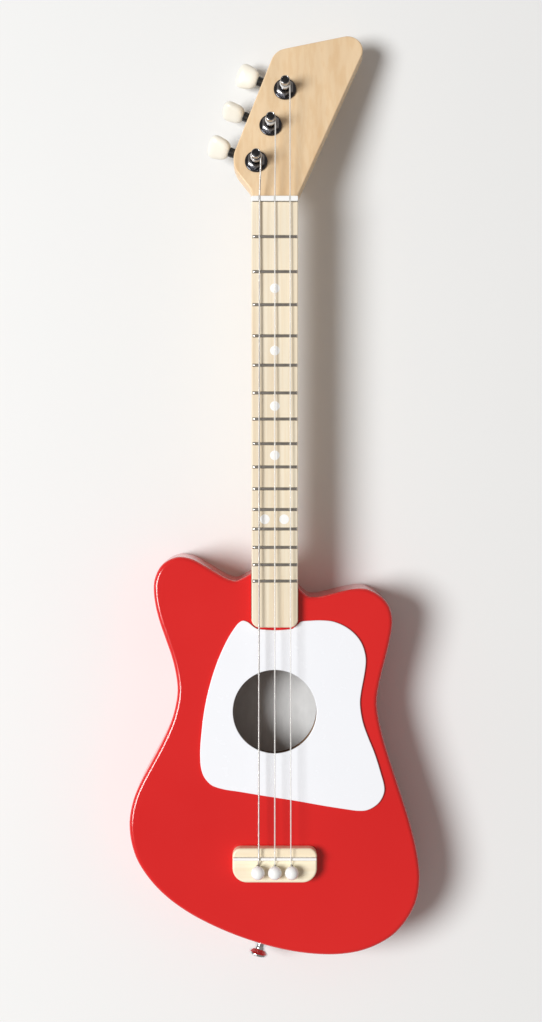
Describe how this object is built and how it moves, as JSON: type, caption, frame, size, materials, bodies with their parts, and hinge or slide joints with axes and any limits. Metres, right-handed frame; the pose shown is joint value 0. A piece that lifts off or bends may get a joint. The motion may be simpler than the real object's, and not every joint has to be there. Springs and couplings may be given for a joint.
{
  "type": "small three-string acoustic guitar",
  "caption": "Children's small acoustic guitar: glossy red asymmetric hollow body with round sound hole, white pickguard, pale fretted neck, tilted head with geared tuners and a pinned bridge.",
  "frame": {"origin": "on the flat back of the body, on the centre line of the strings, under the line where the nominal scale ends, just in front of the saddle", "axes": "+Z out of the soundboard, +Y along the neck towards the head, +X to the right seen from the front"},
  "size_m": [0.1822, 0.5848, 0.0611],
  "materials": {
    "red_lacquer": "thick gloss red lacquer over plywood",
    "inner_wood": "bare sawn wood inside the body",
    "white_plastic": "smooth bright white plastic",
    "ivory_plastic": "cream plastic, satin gloss",
    "pale_maple": "pale straight-grained maple, satin",
    "maple": "warm tan maple, satin",
    "chrome": "bright polished plating",
    "dark_chrome": "black nickel plating",
    "nickel_silver": "polished fret wire",
    "brass": "machined, lightly greased",
    "steel": "plain screws, blackened stems",
    "nylon": "clear to milky nylon",
    "wound_string": "fine metal winding"
  },
  "bodies": {
    "root": {"back_brace": "inner_wood", "back_lining": "inner_wood", "back_panel": "red_lacquer", "bridge": "pale_maple", "bridge_plate": "inner_wood", "fret_01": "nickel_silver", "fret_02": "nickel_silver", "fret_03": "nickel_silver", "fret_04": "nickel_silver", "fret_05": "nickel_silver", "fret_06": "nickel_silver", "fret_07": "nickel_silver", "fret_08": "nickel_silver", "fret_09": "nickel_silver", "fret_10": "nickel_silver", "fret_11": "nickel_silver", "fret_12": "nickel_silver", "fret_13": "nickel_silver", "fret_14": "nickel_silver", "fret_15": "nickel_silver", "fretboard": "pale_maple", "neck": "maple", "neck_block": "inner_wood", "neck_screw_1": "steel", "neck_screw_2": "steel", "nut": "white_plastic", "pickguard": "white_plastic", "saddle": "white_plastic", "side_rim": "red_lacquer", "soundboard": "red_lacquer", "soundboard_brace_lower": "inner_wood", "soundboard_brace_upper": "inner_wood", "soundboard_lining": "inner_wood", "strap_button": "chrome", "strap_button_screw": "steel", "string_1": "wound_string", "string_2": "nylon", "string_3": "nylon", "tail_block": "inner_wood", "tuner_1_bushing": "dark_chrome", "tuner_1_housing": "chrome", "tuner_2_bushing": "dark_chrome", "tuner_2_housing": "chrome", "tuner_3_bushing": "dark_chrome", "tuner_3_housing": "chrome"},
    "tuner_1_knob": {"tuner_1_worm": "steel", "tuner_1_button": "ivory_plastic"},
    "tuner_1_spindle": {"tuner_1_post": "chrome", "tuner_1_gear": "brass"},
    "tuner_2_knob": {"tuner_2_worm": "steel", "tuner_2_button": "ivory_plastic"},
    "tuner_2_spindle": {"tuner_2_post": "chrome", "tuner_2_gear": "brass"},
    "tuner_3_knob": {"tuner_3_worm": "steel", "tuner_3_button": "ivory_plastic"},
    "tuner_3_spindle": {"tuner_3_post": "chrome", "tuner_3_gear": "brass"},
    "pin_1": {"bridge_pin_1": "white_plastic"},
    "pin_2": {"bridge_pin_2": "white_plastic"},
    "pin_3": {"bridge_pin_3": "white_plastic"}
  },
  "joints": [
    {"name": "tuner_1_button_turn", "type": "hinge", "parent": "root", "child": "tuner_1_knob", "pos_m": [-0.00919, 0.43354, 0.02225], "axis": [-0.936, 0.3443, -0.0732], "continuous": true},
    {"name": "tuner_1_post_turn", "type": "hinge", "parent": "root", "child": "tuner_1_spindle", "pos_m": [-0.01154, 0.43107, 0.04077], "axis": [0, 0.2079, 0.9781], "continuous": true},
    {"name": "tuner_2_button_turn", "type": "hinge", "parent": "root", "child": "tuner_2_knob", "pos_m": [-0.00021, 0.45689, 0.01729], "axis": [-0.936, 0.3443, -0.0732], "continuous": true},
    {"name": "tuner_2_post_turn", "type": "hinge", "parent": "root", "child": "tuner_2_spindle", "pos_m": [-0.00257, 0.45441, 0.0358], "axis": [0, 0.2079, 0.9781], "continuous": true},
    {"name": "tuner_3_button_turn", "type": "hinge", "parent": "root", "child": "tuner_3_knob", "pos_m": [0.00876, 0.48023, 0.01232], "axis": [-0.936, 0.3443, -0.0732], "continuous": true},
    {"name": "tuner_3_post_turn", "type": "hinge", "parent": "root", "child": "tuner_3_spindle", "pos_m": [0.00641, 0.47776, 0.03084], "axis": [0, 0.2079, 0.9781], "continuous": true},
    {"name": "bridge_pin_1_pull", "type": "slide", "parent": "root", "child": "pin_1", "axis": [0, 0, 1], "range_m": [0, 0.024]},
    {"name": "bridge_pin_2_pull", "type": "slide", "parent": "root", "child": "pin_2", "axis": [0, 0, 1], "range_m": [0, 0.024]},
    {"name": "bridge_pin_3_pull", "type": "slide", "parent": "root", "child": "pin_3", "axis": [0, 0, 1], "range_m": [0, 0.024]}
  ],
  "couplings": [
    {"joint": "tuner_1_post_turn", "follows": "tuner_1_button_turn", "ratio": -0.071429},
    {"joint": "tuner_2_post_turn", "follows": "tuner_2_button_turn", "ratio": -0.071429},
    {"joint": "tuner_3_post_turn", "follows": "tuner_3_button_turn", "ratio": -0.071429}
  ]
}
